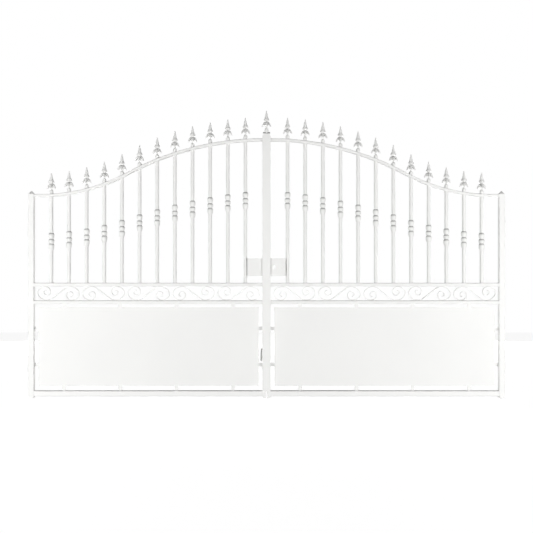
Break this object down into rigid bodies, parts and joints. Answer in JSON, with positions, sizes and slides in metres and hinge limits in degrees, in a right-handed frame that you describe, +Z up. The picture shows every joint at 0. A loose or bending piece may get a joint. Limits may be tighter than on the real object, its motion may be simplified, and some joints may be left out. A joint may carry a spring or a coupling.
{
  "type": "double swing driveway gate with a swan-neck top",
  "caption": "Wide steel double gate with a swan-neck top rail, round bars with ball knuckles, spearheads, a band of S scrolls, sheet panels, a drop bolt and bolt-on hinges.",
  "frame": {"origin": "centre of the back face of the left lower hinge plate, where it bolts to the pillar", "axes": "+X along the closed gate from the left pillar to the right one, +Y from the street to the yard, the way the leaves open, +Z up"},
  "size_m": [3.536, 0.1433, 2.112],
  "materials": {
    "white_paint": "satin white powder coat on steel",
    "bright_zinc": "zinc-plated steel, slightly dull"
  },
  "bodies": {
    "pillar_hinges": {"left_lower_hinge_bracket": "white_paint", "left_upper_hinge_bracket": "white_paint", "right_lower_hinge_bracket": "white_paint", "right_upper_hinge_bracket": "white_paint", "left_hinge_pins": "bright_zinc", "right_hinge_pins": "bright_zinc"},
    "left_leaf": {"left_hanging_stile": "white_paint", "left_stile_cap": "white_paint", "left_meeting_stile": "white_paint", "left_top_rail": "white_paint", "left_upper_band_rail": "white_paint", "left_lower_band_rail": "white_paint", "left_bottom_rail": "white_paint", "left_bars": "white_paint", "left_bar_knuckles": "white_paint", "left_spearheads": "white_paint", "left_scrolls": "white_paint", "left_panel": "white_paint", "left_panel_tabs": "white_paint", "left_hinge_eyes": "white_paint", "left_keeper_case": "white_paint", "cover_strip": "white_paint", "middle_base": "white_paint", "middle_spearhead": "white_paint", "bolt_guides": "white_paint"},
    "right_leaf": {"right_hanging_stile": "white_paint", "right_stile_cap": "white_paint", "right_meeting_stile": "white_paint", "right_top_rail": "white_paint", "right_upper_band_rail": "white_paint", "right_lower_band_rail": "white_paint", "right_bottom_rail": "white_paint", "right_bars": "white_paint", "right_bar_knuckles": "white_paint", "right_spearheads": "white_paint", "right_scrolls": "white_paint", "right_panel": "white_paint", "right_panel_tabs": "white_paint", "right_hinge_eyes": "white_paint", "right_lock_case": "white_paint"},
    "drop_bolt": {"drop_bolt": "white_paint", "bolt_handle": "white_paint"}
  },
  "joints": [
    {"name": "left_leaf_swing", "type": "hinge", "parent": "pillar_hinges", "child": "left_leaf", "pos_m": [0.033, -0.022, 0], "axis": [0, 0, 1], "range_deg": [0, 90]},
    {"name": "right_leaf_swing", "type": "hinge", "parent": "pillar_hinges", "child": "right_leaf", "pos_m": [3.503, -0.022, 0], "axis": [0, 0, -1], "range_deg": [0, 90]},
    {"name": "drop_bolt_slide", "type": "slide", "parent": "left_leaf", "child": "drop_bolt", "axis": [0, 0, -1], "range_m": [0, 0.06]}
  ]
}
